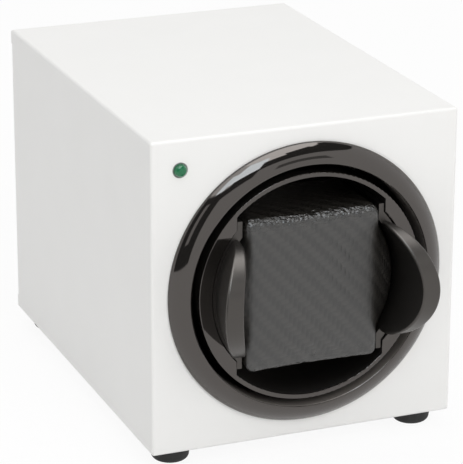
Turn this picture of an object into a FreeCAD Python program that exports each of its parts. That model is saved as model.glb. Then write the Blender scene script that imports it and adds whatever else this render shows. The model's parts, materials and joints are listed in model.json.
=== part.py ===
import FreeCAD
import Part
import Sketcher
import math
import os
import re

# Watch winder box: a lacquered box on rubber feet with a motor-driven drum that holds a watch cushion.
# Millimetres. Local axes of every piece: x to the right, y backwards from the front board's face,
# z upwards from the drum's axis.

doc = FreeCAD.newDocument("watch_winder")
sheet = doc.addObject("Spreadsheet::Sheet", "sizes")

sizes = {
    # box of boards
    "case_width": 125.0,
    "case_height": 125.0,
    "case_depth": 170.0,
    "board": 6.0,
    "edge_round": 1.2,
    "rear_recess": 10.0,
    "rear_plate": 3.0,
    "rear_plate_gap": 0.3,
    "corner_block": 10.0,
    "corner_block_length": 20.0,
    # rubber feet
    "foot_height": 6.5,
    "foot_radius": 8.1,
    "foot_taper": 0.7,
    "foot_round": 2.4,
    "foot_inset": 11.3,
    "foot_recess_radius": 3.4,
    "foot_recess": 2.8,
    # screws: wood screws in the box, machine screws in the works
    "wood_screw_radius": 1.5,
    "wood_screw_head": 3.0,
    "wood_screw_head_height": 1.8,
    "wood_screw_bite": 4.5,
    "rear_screw_length": 14.0,
    "machine_screw_radius": 1.5,
    "machine_screw_head": 2.75,
    "machine_screw_head_height": 2.0,
    "small_screw_radius": 1.0,
    "small_screw_head": 1.9,
    "small_screw_head_height": 1.2,
    # bezel ring
    "bezel_radius": 56.0,
    "bezel_inner": 48.4,
    "bezel_neck": 52.3,
    "bezel_neck_gap": 0.2,
    "bezel_edge": 1.0,
    "bezel_proud": 5.8,
    "bezel_crown": 11.0,
    "bezel_lip": 0.7,
    # lamp
    "lamp_inset": 11.7,
    "lamp_radius": 2.5,
    "lamp_flange": 2.9,
    "lamp_flange_thickness": 1.0,
    "holder_wall": 0.5,
    "holder_flange": 4.4,
    "holder_flange_thickness": 1.2,
    # drum
    "drum_radius": 45.5,
    "drum_proud": 5.5,
    "rim_width": 1.9,
    "window_half_width": 30.2,
    "well_radius": 40.0,
    "well_depth": 37.0,
    "drum_floor": 4.0,
    "drum_skirt": 3.0,
    "skirt_wall": 2.5,
    "drum_edge_round": 0.4,
    "hub_radius": 10.0,
    "hub_proud": 1.9,
    "hub_recess": 3.2,
    "hub_recess_radius": 5.2,
    "thrust_gap": 0.1,
    # housing behind the front board
    "housing_wall": 2.1,
    "housing_back": 3.0,
    "housing_flange": 55.5,
    "housing_flange_thickness": 2.5,
    "ear_pitch": 58.0,
    "ear_radius": 5.0,
    "gearbox_boss": 2.0,
    "gearbox_boss_radius": 4.0,
    # shaft and its bushes
    "shaft_radius": 3.0,
    "shaft_flat": 2.4,
    "shaft_shy": 0.4,
    "shaft_thread": 8.0,
    "shaft_overrun": 1.0,
    "running_gap": 0.05,
    "bush_radius": 5.0,
    "bush_flange": 7.0,
    "bush_flange_thickness": 1.0,
    "washer_radius": 4.8,
    "washer_thickness": 0.8,
    # watch cuff
    "cuff_gap": 0.3,
    "cuff_front": 4.6,
    "cuff_half_height": 29.5,
    "strip_wall": 2.0,
    "grip_wall": 3.4,
    "bridge_depth": 27.5,
    "bridge_thickness": 2.5,
    "tab_reach": 28.0,
    "tab_half_height": 22.4,
    "tab_base_radius": 38.5,
    "tab_tip_radius": 43.7,
    "tab_round": 0.8,
    # cushion in the cuff
    "cushion_half_width": 26.3,
    "cushion_half_height": 30.4,
    "cushion_proud": 9.0,
    "cushion_crown_radius": 380.0,
    "cushion_round": 5.4,
    "cushion_side_round": 2.6,
    "cushion_gap": 0.4,
    "lobe_half_height": 21.8,
    "lobe_drop": 1.6,
    "lobe_edge": 1.5,
    "lobe_swell": 16.0,
    "cover_thickness": 1.2,
    # gear train
    "gear_module": 0.6,
    "pinion_teeth": 12.0,
    "wheel_teeth": 48.0,
    "output_teeth": 60.0,
    "pressure_angle": 20.0,
    "tooth_addendum": 0.75,
    "tooth_dedendum": 1.0,
    "backlash": 0.1,
    "output_face": 5.0,
    "wheel_face": 4.0,
    "gear_gap": 1.0,
    "second_idler_angle": 200.0,
    "first_idler_angle": 100.0,
    "motor_angle": 20.0,
    "axle_radius": 1.5,
    "collar_radius": 2.4,
    "collar_gap": 0.2,
    "output_hub": 5.0,
    "plate_thickness": 1.5,
    "plate_left": 41.0,
    "plate_right": 21.0,
    "plate_top": 29.0,
    "plate_bottom": 25.0,
    "plate_corner": 4.0,
    "plate_hole_gap": 3.0,
    "spacer_radius": 3.0,
    # motor
    "motor_radius": 12.0,
    "motor_length": 22.0,
    "motor_cap_length": 3.0,
    "motor_shaft_radius": 1.0,
    "motor_hole_gap": 3.0,
    "motor_screw_pitch": 8.0,
    "motor_screw_bite": 3.0,
    # controls on the rear plate
    "knob_spacing": 40.0,
    "knob_height": 12.0,
    "knob_radius": 9.0,
    "knob_skirt": 2.0,
    "knob_depth": 7.5,
    "knob_bar": 5.0,
    "knob_lift": 0.6,
    "knob_spindle_depth": 5.5,
    "switch_size": 14.0,
    "switch_bush": 4.5,
    "switch_bush_gap": 0.1,
    "board_standoff": 12.0,
    "circuit_board": 1.6,
    "circuit_width": 70.0,
    "circuit_height": 50.0,
    "circuit_corner": 4.0,
    "board_spacer_radius": 3.0,
    "jack_drop": 14.0,
    "jack_width": 9.0,
    "jack_height": 11.0,
    "jack_collar": 4.0,
    "jack_bore": 2.8,
    "jack_pin": 1.0,
    "jack_bore_depth": 9.0,
}

for row, (name, number) in enumerate(sizes.items(), start=1):
    sheet.set(f"A{row}", name)
    sheet.set(f"B{row}", str(number))
    sheet.setAlias(f"B{row}", name)
doc.recompute()


def tied(formula):
    """Text of a formula with each size named as a cell of the sheet."""
    return re.sub(r"[a-z_]+", lambda word: f"sizes.{word[0]}" if word[0] in sizes else word[0], formula)


def value(formula):
    """Number that a formula of the sheet gives."""
    return float(sheet.evalExpression(formula))


# Places that several pieces share, as formulas of the sheet.
front_plane = "(tab_reach - case_depth)/2"
axis_height = "(foot_height + case_height/2)"
half_width = "case_width/2"
half_height = "case_height/2"
inner_half_width = "(case_width/2 - board)"
inner_half_height = "(case_height/2 - board)"
plate_back = "(case_depth - rear_recess)"
plate_front = "(case_depth - rear_recess - rear_plate)"
rim_inner = "(drum_radius - rim_width)"
skirt_back = "(well_depth + drum_floor + drum_skirt)"
hub_back = "(well_depth + drum_floor + drum_skirt + hub_proud)"
hub_seat = "(well_depth + hub_recess)"
bush_front = f"({hub_back} + thrust_gap)"
housing_floor = f"({bush_front} + bush_flange_thickness)"
housing_rear = f"({housing_floor} + housing_back)"
gear_front = f"({housing_rear} + gearbox_boss)"
output_layer = f"({gear_front} + plate_thickness + gear_gap)"
middle_layer = f"({output_layer} + output_face + gear_gap)"
motor_layer = f"({middle_layer} + wheel_face + gear_gap)"
gear_rear = f"({motor_layer} + wheel_face + gear_gap + bush_flange_thickness)"
motor_front = f"({gear_rear} + plate_thickness)"
cuff_half_width = "(window_half_width - cuff_gap)"
cuff_inner_width = "(window_half_width - cuff_gap - strip_wall)"
grip_outer = "(well_radius - cuff_gap)"
grip_inner = "(well_radius - cuff_gap - grip_wall)"
board_back = f"({plate_front} - board_standoff)"

pieces = []


def bind(thing, path, formula):
    thing.setExpression(path, tied(formula))


def place(thing, x="0", y="0", z="0"):
    """Set a piece in the part's frame; x, y and z are measured from the drum axis at the front board."""
    bind(thing, "Placement.Base.x", x)
    bind(thing, "Placement.Base.y", f"{front_plane} + {y}")
    bind(thing, "Placement.Base.z", f"{axis_height} + {z}")


def new_body(name, x="0", y="0", z="0"):
    body = doc.addObject("PartDesign::Body", name)
    body.Label = name
    place(body, x, y, z)
    pieces.append(body)
    return body


def sketch_on(body, role, offset="0"):
    """Sketch on an origin plane of the body, moved along that plane's normal."""
    plane = next(feature for feature in body.Origin.OriginFeatures if feature.Role == role)
    sketch = body.newObject("Sketcher::SketchObject", "sketch")
    sketch.AttachmentSupport = [(plane, "")]
    sketch.MapMode = "FlatFace"
    bind(sketch, "AttachmentOffset.Base.z", offset)
    return sketch


def front_sketch(body, depth):
    """Sketch in x and z, seen from the front, at a depth behind the front board's face."""
    return sketch_on(body, "XZ_Plane", f"-({depth})")


def fix(sketch, constraint, formula):
    index = sketch.addConstraint(constraint)
    bind(sketch, f"Constraints[{index}]", formula)


def fix_point(sketch, geometry, point, across, up):
    fix(sketch, Sketcher.Constraint("DistanceX", -1, 1, geometry, point, value(across)), across)
    fix(sketch, Sketcher.Constraint("DistanceY", -1, 1, geometry, point, value(up)), up)


def arc_between(first, last, radius, turn):
    """Arc shorter than a half circle; turn is 1 for anticlockwise and -1 for clockwise."""
    chord = last - first
    side = FreeCAD.Vector(-chord.y, chord.x, 0).normalize()
    height = math.sqrt(radius ** 2 - chord.Length ** 2 / 4)
    centre = (first + last) / 2 + side * (height * turn)
    start, end = (first, last) if turn > 0 else (last, first)
    angles = [math.atan2(point.y - centre.y, point.x - centre.x) for point in (start, end)]
    return Part.ArcOfCircle(Part.Circle(centre, FreeCAD.Vector(0, 0, 1), radius), angles[0], angles[1])


def outline(sketch, corners):
    """Closed outline. A corner is (across, up), or (across, up, radius, turn) where an arc follows it."""
    points = [FreeCAD.Vector(value(corner[0]), value(corner[1]), 0) for corner in corners]
    ends = []
    for corner, first, last in zip(corners, points, points[1:] + points[:1]):
        if len(corner) == 2:
            index = sketch.addGeometry(Part.LineSegment(first, last), False)
            ends.append((index, 1, 2))
        else:
            radius, turn = corner[2:]
            index = sketch.addGeometry(arc_between(first, last, value(radius), turn), False)
            ends.append((index, 1, 2) if turn > 0 else (index, 2, 1))
            fix(sketch, Sketcher.Constraint("Radius", index, value(radius)), radius)
    for here, following, corner in zip(ends, ends[1:] + ends[:1], corners):
        sketch.addConstraint(Sketcher.Constraint("Coincident", here[0], here[2], following[0], following[1]))
        fix_point(sketch, here[0], here[1], corner[0], corner[1])


def rectangle(sketch, left, low, right, high):
    outline(sketch, [(left, low), (right, low), (right, high), (left, high)])


def circle(sketch, across, up, radius):
    centre = FreeCAD.Vector(value(across), value(up), 0)
    index = sketch.addGeometry(Part.Circle(centre, FreeCAD.Vector(0, 0, 1), value(radius)), False)
    fix_point(sketch, index, 3, across, up)
    fix(sketch, Sketcher.Constraint("Radius", index, value(radius)), radius)


def circles(sketch, centres, radius):
    for across, up in centres:
        circle(sketch, across, up, radius)


def feature(body, kind, sketch, **settings):
    made = body.newObject(f"PartDesign::{kind}", kind.lower())
    made.Profile = sketch
    for name, setting in settings.items():
        setattr(made, name, setting)
    body.Tip = made
    return made


def pad(body, sketch, length, backwards=True):
    """Add material behind a front sketch, or along the plane's normal."""
    made = feature(body, "Pad", sketch, Reversed=backwards)
    bind(made, "Length", length)
    return made


def pocket(body, sketch, length, backwards=True):
    """Cut behind a front sketch, or along the plane's normal where backwards is false."""
    made = feature(body, "Pocket", sketch, Reversed=not backwards)
    bind(made, "Length", length)
    return made


def revolve(body, sketch, angle="360"):
    made = feature(body, "Revolution", sketch, ReferenceAxis=(sketch, ["V_Axis"]), Midplane=True)
    bind(made, "Angle", angle)
    return made


def round_edges(body, base, chosen, radius):
    """Fillet the edges of a feature that the test picks."""
    doc.recompute()
    names = [f"Edge{i}" for i, edge in enumerate(base.Shape.Edges, start=1) if chosen(edge)]
    fillet = body.newObject("PartDesign::Fillet", "fillet")
    fillet.Base = (base, names)
    bind(fillet, "Radius", radius)
    body.Tip = fillet
    return fillet


def mirror_across(body, *originals):
    """Repeat features, or the whole body where none is named, on the other side of the middle plane."""
    mirrored = body.newObject("PartDesign::Mirrored", "mirrored")
    if originals:
        mirrored.Originals = list(originals)
    else:
        mirrored.TransformMode = "Whole shape"
    middle = next(plane for plane in body.Origin.OriginFeatures if plane.Role == "YZ_Plane")
    mirrored.MirrorPlane = (middle, [""])
    body.Tip = mirrored


def near(first, second):
    return abs(first - second) < 1e-4


def four(across, up):
    """The four mirrored places of a point."""
    return [(f"{a}({across})", f"{b}({up})") for a in ("-", "") for b in ("-", "")]


# Boards of the box

def make_front_panel():
    body = new_body("front_panel")
    sketch = front_sketch(body, "0")
    rectangle(sketch, f"-{half_width}", f"-{half_height}", half_width, half_height)
    circle(sketch, "0", "0", "bezel_neck + bezel_neck_gap")
    circle(sketch, *lamp_centre, "lamp_radius + holder_wall")
    base = pad(body, sketch, "board")
    wide, high = value(half_width), value(half_height)

    def outer(edge):
        box = edge.BoundBox
        straight = isinstance(edge.Curve, Part.Line)
        corner = near(abs(box.XMin), wide) and near(abs(box.ZMin), high) and near(box.YLength, value("board"))
        return straight and (corner or box.YMax < 1e-4)

    round_edges(body, base, outer, "edge_round")
    pilots = front_sketch(body, "board")
    circles(pilots, ear_centres, "wood_screw_radius")
    pocket(body, pilots, "wood_screw_bite", backwards=False)


def make_side_board(name, left, low, right, high, rounded):
    """A board that runs from the front board to the back; rounded says which edges lie outside."""
    body = new_body(name)
    sketch = front_sketch(body, "board")
    rectangle(sketch, left, low, right, high)
    base = pad(body, sketch, "case_depth - board")
    wide, high_edge, deep = value(half_width), value(half_height), value("case_depth")

    def outer(edge):
        box = edge.BoundBox
        at_side = near(abs(box.XMin), wide) and near(box.XLength, 0)
        at_top = near(abs(box.ZMin), high_edge) and near(box.ZLength, 0)
        at_back = near(box.YMin, deep)
        return (at_side and at_top) or (at_back and (at_top if rounded == "top" else at_side))

    round_edges(body, base, outer, "edge_round")
    return body


def make_boards():
    make_front_panel()
    make_side_board("top_panel", f"-{half_width}", inner_half_height, half_width, half_height, "top")
    bottom = make_side_board("bottom_panel", f"-{half_width}", f"-{half_height}", half_width,
                             f"-{inner_half_height}", "top")
    sketch = sketch_on(bottom, "XY_Plane", f"-{half_height}")
    circles(sketch, foot_centres.values(), "wood_screw_radius")
    pocket(bottom, sketch, "wood_screw_bite", backwards=False)
    make_side_board("left_panel", f"-{half_width}", f"-{inner_half_height}", f"-{inner_half_width}",
                    inner_half_height, "side")
    make_side_board("right_panel", inner_half_width, f"-{inner_half_height}", half_width,
                    inner_half_height, "side")


def make_rear_panel():
    body = new_body("rear_panel")
    sketch = front_sketch(body, plate_front)
    wide = f"({inner_half_width} - rear_plate_gap)"
    high = f"({inner_half_height} - rear_plate_gap)"
    rectangle(sketch, f"-{wide}", f"-{high}", wide, high)
    circles(sketch, rear_screws, "wood_screw_radius")
    circles(sketch, knob_centres.values(), "switch_bush + switch_bush_gap")
    circle(sketch, "0", "-jack_drop", "jack_collar + switch_bush_gap")
    pad(body, sketch, "rear_plate")

    blocks = new_body("corner_blocks")
    sketch = front_sketch(blocks, f"{plate_front} - corner_block_length")
    for side in ("-", ""):
        for level in ("-", ""):
            inner_x = f"{side}({inner_half_width} - corner_block)"
            inner_z = f"{level}({inner_half_height} - corner_block)"
            rectangle(sketch, f"{side}{inner_half_width}", f"{level}{inner_half_height}", inner_x, inner_z)
    pad(blocks, sketch, "corner_block_length")
    holes = front_sketch(blocks, plate_front)
    circles(holes, rear_screws, "wood_screw_radius")
    pocket(blocks, holes, "rear_screw_length - rear_plate", backwards=False)

    screws = new_body("rear_panel_screws")
    add_screws(screws, rear_screws, plate_back, "rear_screw_length", "wood_screw", towards_front=True)


def add_screws(body, centres, seat, length, family, towards_front):
    """Screws along y: shanks of a length from the seat plane, and heads on its other side."""
    shank = front_sketch(body, seat)
    circles(shank, centres, f"{family}_radius")
    pad(body, shank, length, backwards=not towards_front)
    head = front_sketch(body, seat)
    circles(head, centres, f"{family}_head")
    pad(body, head, f"{family}_head_height", backwards=towards_front)


# Rubber feet

def make_feet():
    for name, (across, back) in foot_centres.items():
        body = new_body(name, across, back, f"-{half_height}")
        sketch = sketch_on(body, "XZ_Plane")
        low = "(foot_radius - foot_taper)"
        outline(sketch, [
            ("wood_screw_radius", "0"),
            ("wood_screw_radius", "foot_recess - foot_height"),
            ("foot_recess_radius", "foot_recess - foot_height"),
            ("foot_recess_radius", "-foot_height"),
            (f"{low} - foot_round", "-foot_height", "foot_round", 1),
            (low, "foot_round - foot_height"),
            ("foot_radius", "0"),
        ])
        revolve(body, sketch)
    screws = new_body("foot_screws")
    seat = f"-{half_height} - foot_height + foot_recess"
    shank = sketch_on(screws, "XY_Plane", seat)
    circles(shank, foot_centres.values(), "wood_screw_radius")
    pad(screws, shank, "foot_height - foot_recess + wood_screw_bite", backwards=False)
    head = sketch_on(screws, "XY_Plane", seat)
    circles(head, foot_centres.values(), "wood_screw_head")
    pad(screws, head, "wood_screw_head_height", backwards=True)


# Bezel, lamp and housing

def make_bezel():
    body = new_body("front_bezel")
    sketch = sketch_on(body, "XY_Plane")
    outline(sketch, [
        ("bezel_inner", "board"),
        ("bezel_inner", "bezel_lip - bezel_proud", "bezel_lip", 1),
        ("bezel_inner + bezel_lip", "-bezel_proud", "bezel_crown", 1),
        ("bezel_radius", "-bezel_edge"),
        ("bezel_radius", "0"),
        ("bezel_neck", "0"),
        ("bezel_neck", "board"),
    ])
    revolve(body, sketch)


def make_lamp():
    holder = new_body("led_holder")
    sleeve = front_sketch(holder, "0")
    circle(sleeve, *lamp_centre, "lamp_radius + holder_wall")
    circle(sleeve, *lamp_centre, "lamp_radius")
    pad(holder, sleeve, "board")
    flange = front_sketch(holder, "board")
    circle(flange, *lamp_centre, "holder_flange")
    circle(flange, *lamp_centre, "lamp_radius")
    pad(holder, flange, "holder_flange_thickness")

    lamp = new_body("led_lamp", *lamp_centre_xz())
    sketch = sketch_on(lamp, "XY_Plane")
    back = "(board + holder_flange_thickness)"
    outline(sketch, [
        ("0", f"{back} + lamp_flange_thickness"),
        ("0", "-lamp_radius", "lamp_radius", 1),
        ("lamp_radius", "0"),
        ("lamp_radius", back),
        ("lamp_flange", back),
        ("lamp_flange", f"{back} + lamp_flange_thickness"),
    ])
    revolve(lamp, sketch)


def lamp_centre_xz():
    return lamp_centre[0], "0", lamp_centre[1]


def make_housing():
    body = new_body("drum_housing")
    outer = "(bezel_inner + housing_wall)"
    sketch = sketch_on(body, "XY_Plane")
    outline(sketch, [
        ("bezel_inner", "board"),
        ("housing_flange", "board"),
        ("housing_flange", "board + housing_flange_thickness"),
        (outer, "board + housing_flange_thickness"),
        (outer, housing_rear),
        ("bush_radius", housing_rear),
        ("bush_radius", housing_floor),
        ("bezel_inner", housing_floor),
    ])
    revolve(body, sketch)
    ears = front_sketch(body, "board")
    circles(ears, ear_centres, "ear_radius")
    pad(body, ears, "housing_flange_thickness")
    bosses = front_sketch(body, housing_rear)
    circles(bosses, plate_corners, "gearbox_boss_radius")
    pad(body, bosses, "gearbox_boss")
    holes = front_sketch(body, "board")
    circles(holes, ear_centres, "wood_screw_radius")
    pocket(body, holes, "housing_flange_thickness")
    pilots = front_sketch(body, housing_floor)
    circles(pilots, plate_corners, "machine_screw_radius")
    pocket(body, pilots, "housing_back + gearbox_boss")

    screws = new_body("housing_screws")
    seat = "(board + housing_flange_thickness)"
    add_screws(screws, ear_centres, seat, "housing_flange_thickness + wood_screw_bite", "wood_screw", True)


def make_bush(name, seat, length):
    """Flanged bush whose flange lies in front of the seat."""
    body = new_body(name)
    bore = "(shaft_radius + running_gap)"
    sketch = sketch_on(body, "XY_Plane")
    outline(sketch, [
        (bore, f"{seat} - bush_flange_thickness"),
        ("bush_flange", f"{seat} - bush_flange_thickness"),
        ("bush_flange", seat),
        ("bush_radius", seat),
        ("bush_radius", f"{seat} + {length}"),
        (bore, f"{seat} + {length}"),
    ])
    revolve(body, sketch)


# Drum

def d_outline(sketch):
    """Round with a flat on top, for the shaft's end and the hole that it drives."""
    edge = "sqrt(shaft_radius^2 - shaft_flat^2)"
    outline(sketch, [
        (f"-{edge}", "shaft_flat", "shaft_radius", 1),
        ("0", "-shaft_radius", "shaft_radius", 1),
        (edge, "shaft_flat"),
    ])


def make_drum():
    body = new_body("drum_cup")
    sketch = front_sketch(body, "-drum_proud")
    circle(sketch, "0", "0", "drum_radius")
    pad(body, sketch, f"drum_proud + {skirt_back}")
    well = front_sketch(body, "-drum_proud")
    circle(well, "0", "0", "well_radius")
    pocket(body, well, "drum_proud + well_depth")
    window = front_sketch(body, "-drum_proud")
    rise = f"sqrt({rim_inner}^2 - window_half_width^2)"
    outline(window, [
        ("window_half_width", f"-{rise}"),
        ("window_half_width", rise, rim_inner, 1),
        ("-window_half_width", rise),
        ("-window_half_width", f"-{rise}", rim_inner, 1),
    ])
    pocket(body, window, "drum_proud + well_depth")
    hollow = front_sketch(body, skirt_back)
    circle(hollow, "0", "0", "drum_radius - skirt_wall")
    circle(hollow, "0", "0", "hub_radius")
    pocket(body, hollow, "drum_skirt", backwards=False)
    hub = front_sketch(body, skirt_back)
    circle(hub, "0", "0", "hub_radius")
    pad(body, hub, "hub_proud")
    recess = front_sketch(body, "well_depth")
    circle(recess, "0", "0", "hub_recess_radius")
    pocket(body, recess, "hub_recess")
    bore = front_sketch(body, hub_seat)
    d_outline(bore)
    drilled = pocket(body, bore, f"{hub_back} - {hub_seat}")
    front = -value("drum_proud")

    def front_edge(edge):
        return near(edge.BoundBox.YMin, front) and near(edge.BoundBox.YLength, 0)

    round_edges(body, drilled, front_edge, "drum_edge_round")


def make_shaft():
    body = new_body("output_shaft")
    front = f"({hub_seat} + shaft_shy)"
    end = front_sketch(body, front)
    d_outline(end)
    pad(body, end, f"{hub_back} - {front}")
    rod = front_sketch(body, hub_back)
    circle(rod, "0", "0", "shaft_radius")
    pad(body, rod, f"{motor_front} + shaft_overrun - {hub_back}")
    thread = front_sketch(body, front)
    circle(thread, "0", "0", "machine_screw_radius")
    pocket(body, thread, "shaft_thread")

    washer = new_body("drum_washer")
    ring = front_sketch(washer, f"{hub_seat} - washer_thickness")
    circle(ring, "0", "0", "washer_radius")
    circle(ring, "0", "0", "machine_screw_radius")
    pad(washer, ring, "washer_thickness")

    screw = new_body("drum_screw")
    length = "(washer_thickness + shaft_shy + shaft_thread)"
    add_screws(screw, [("0", "0")], f"{hub_seat} - washer_thickness", length, "machine_screw", False)


# Watch cuff: a moulded frame with two flared finger tabs, and its padded cushion

def cuff_outline(sketch, half, radius, height):
    """Left half of a strip with straight ends that swells into a round middle."""
    rise = f"sqrt({radius}^2 - {half}^2)"
    outline(sketch, [
        ("0", height),
        (f"-{half}", height),
        (f"-{half}", rise, radius, 1),
        (f"-{half}", f"-{rise}"),
        (f"-{half}", f"-{height}"),
        ("0", f"-{height}"),
    ])


def make_cuff_frame():
    """Left half of the frame with its tab, mirrored whole to the right."""
    body = new_body("cuff_frame")
    solid = front_sketch(body, "-cuff_front")
    cuff_outline(solid, cuff_half_width, grip_outer, "cuff_half_height")
    pad(body, solid, "cuff_front + well_depth")
    past_ends = "(cuff_half_height + board)"
    inside = front_sketch(body, "-cuff_front")
    cuff_outline(inside, cuff_inner_width, grip_inner, past_ends)
    pocket(body, inside, "cuff_front + bridge_depth")
    behind = front_sketch(body, "well_depth")
    cuff_outline(behind, cuff_inner_width, grip_inner, past_ends)
    pocket(body, behind, "well_depth - bridge_depth - bridge_thickness", backwards=False)

    # The flared wall runs on past the tip, so that the trimmed rim alone ends it.
    past_tip = "(tab_reach + tab_round)"
    flare = "(tab_tip_radius - tab_base_radius)/(tab_reach - cuff_front)"
    profile = sketch_on(body, "XY_Plane")
    outline(profile, [
        (f"-{grip_inner}", "-cuff_front/2"),
        ("-tab_base_radius", "-cuff_front/2"),
        ("-tab_base_radius", "-cuff_front"),
        (f"-(tab_tip_radius + tab_round*{flare})", f"-{past_tip}"),
        (f"-{grip_inner}", f"-{past_tip}"),
    ])
    revolve(body, profile, f"2*asin(tab_half_height/{grip_inner}) + 3deg")

    # The tab's tongue shape, seen from the side, is left when the rest in front of the frame is cut away.
    trim = sketch_on(body, "YZ_Plane")
    clear = "(tab_reach + board)"
    turn = "(tab_half_height - tab_reach)"
    outline(trim, [
        ("-cuff_front", f"-{clear}"),
        ("-cuff_front", "-tab_half_height"),
        (turn, "-tab_half_height", "tab_half_height", -1),
        ("-tab_reach", "0", "tab_half_height", -1),
        (turn, "tab_half_height"),
        ("-cuff_front", "tab_half_height"),
        ("-cuff_front", clear),
        (f"-{clear}", clear),
        (f"-{clear}", f"-{clear}"),
    ])
    cut = feature(body, "Pocket", trim, Midplane=True)
    bind(cut, "Length", "4*tab_tip_radius")
    doc.recompute()
    tongue = value("tab_half_height")
    rims = [face for face in cut.Shape.Faces
            if isinstance(face.Surface, Part.Cylinder) and near(abs(face.Surface.Axis.x), 1)
            and near(face.Surface.Radius, tongue)]

    def rim_edge(edge):
        on_rim = any(edge.isSame(other) for face in rims for other in face.Edges)
        return on_rim and not isinstance(edge.Curve, Part.Line)

    round_edges(body, cut, rim_edge, "tab_round")
    mirror_across(body)


def make_cushion(name, inset, listed):
    """Crowned pad with a swollen lobe towards each tab; inset is how far it lies inside the cover."""
    body = new_body(name)
    if not listed:
        pieces.remove(body)
    half = f"(cushion_half_width - {inset})"
    high = f"(cushion_half_height - {inset})"
    front = f"(cushion_proud - {inset})"
    crown = f"(cushion_crown_radius - {inset})"
    corner = f"(cushion_round - {inset})"
    corner_up = f"({high} - {corner})"
    crown_centre = f"({crown} - {front})"
    corner_back = f"({crown_centre} - sqrt(({crown} - {corner})^2 - {corner_up}^2))"
    meet = f"({crown}/({crown} - {corner}))"
    meet_back = f"{crown_centre} + ({corner_back} - {crown_centre})*{meet}"
    meet_up = f"{corner_up}*{meet}"
    side = sketch_on(body, "YZ_Plane", f"-{half}")
    outline(side, [
        ("bridge_depth", f"-{high}"),
        ("bridge_depth", high),
        (corner_back, high, corner, 1),
        (meet_back, meet_up, crown, 1),
        (meet_back, f"-{meet_up}", corner, 1),
        (corner_back, f"-{high}"),
    ])
    block = pad(body, side, f"2*{half}", backwards=False)
    wide, back = value(half), value("bridge_depth")

    def side_edge(edge):
        box = edge.BoundBox
        return near(abs(box.XMin), wide) and near(box.XLength, 0) and box.YMin < back - 1e-4

    round_edges(body, block, side_edge, f"cushion_side_round - {inset}")
    lobe = sketch_on(body, "XY_Plane")
    reach = f"({grip_inner} - cushion_gap - {inset})"
    outline(lobe, [
        (f"{half} - cushion_side_round", "bridge_depth"),
        (f"{half} - cushion_side_round", f"lobe_drop - {front}", "lobe_swell", 1),
        (reach, f"{inset} - lobe_edge"),
        (reach, "bridge_depth"),
    ])
    swell = revolve(body, lobe, f"2*asin((lobe_half_height - {inset})/{reach})")
    mirror_across(body, swell)
    return body


def make_cuff():
    make_cuff_frame()
    whole = make_cushion("cushion_form", "0", listed=False)
    foam = make_cushion("cuff_foam", "cover_thickness", listed=True)
    cover = doc.addObject("Part::Cut", "cuff_cover")
    cover.Label = "cuff_cover"
    cover.Base = whole
    cover.Tool = foam
    pieces.append(cover)


# Gear train

def tooth_face(teeth, phase):
    """Face of an external involute gear with a tooth centred at the phase angle, in radians."""
    module = value("gear_module")
    pressure = math.radians(value("pressure_angle"))
    pitch = module * teeth / 2
    base = pitch * math.cos(pressure)
    tip = pitch + value("tooth_addendum") * module
    root = pitch - value("tooth_dedendum") * module
    half = (math.pi * module / 2 - value("backlash") / 2) / (2 * pitch)
    start = max(base, root)

    def spread(radius):
        lean = math.acos(min(1.0, base / radius))
        return half + math.tan(pressure) - pressure - math.tan(lean) + lean

    def at(radius, angle):
        return FreeCAD.Vector(radius * math.cos(angle), radius * math.sin(angle), 0)

    def flank(centre, side):
        middle = (start + tip) / 2
        return [at(radius, centre + side * spread(radius)) for radius in (start, middle, tip)]

    edges = []
    step = 2 * math.pi / teeth
    for tooth in range(teeth):
        centre = phase + tooth * step
        rising = flank(centre, -1)
        falling = flank(centre, 1)[::-1]
        foot_in = at(root, centre - spread(start))
        foot_out = at(root, centre + spread(start))
        next_foot = at(root, centre + step - spread(start))
        if base > root:
            edges.append(Part.makeLine(foot_in, rising[0]))
        edges.append(Part.Arc(*rising).toShape())
        edges.append(Part.Arc(rising[-1], at(tip, centre), falling[0]).toShape())
        edges.append(Part.Arc(*falling).toShape())
        if base > root:
            edges.append(Part.makeLine(falling[-1], foot_out))
        edges.append(Part.Arc(foot_out, at(root, centre + step / 2), next_foot).toShape())
    return Part.Face(Part.Wire(edges))


def stand(shape, x, z, back):
    """Turn a shape that was drawn from the front so that its far end lies at a depth."""
    shape.rotate(FreeCAD.Vector(0, 0, 0), FreeCAD.Vector(1, 0, 0), 90)
    shape.translate(FreeCAD.Vector(x, back, z))
    return shape


def disc(radius, x, z, first, last):
    return stand(Part.makeCylinder(radius, last - first), x, z, last)


def toothed(teeth, phase, x, z, first, width):
    prism = tooth_face(int(teeth), phase).extrude(FreeCAD.Vector(0, 0, width))
    return stand(prism, x, z, first + width)


def gear_piece(name, solids, bore, x, z, first, last):
    """One moulding of toothed rims and hubs with a bore through it."""
    shape = solids[0].fuse(solids[1:]).cut(disc(bore, x, z, first, last))
    piece = doc.addObject("Part::Feature", name)
    piece.Label = name
    piece.Shape = shape.removeSplitter()
    place(piece)
    pieces.append(piece)


def mesh_phase(teeth, phase, mate_teeth, direction):
    """Phase of a gear that meshes with another, from the direction between their axes."""
    return direction + math.pi - teeth / mate_teeth * (phase - direction) - math.pi / mate_teeth


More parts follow.
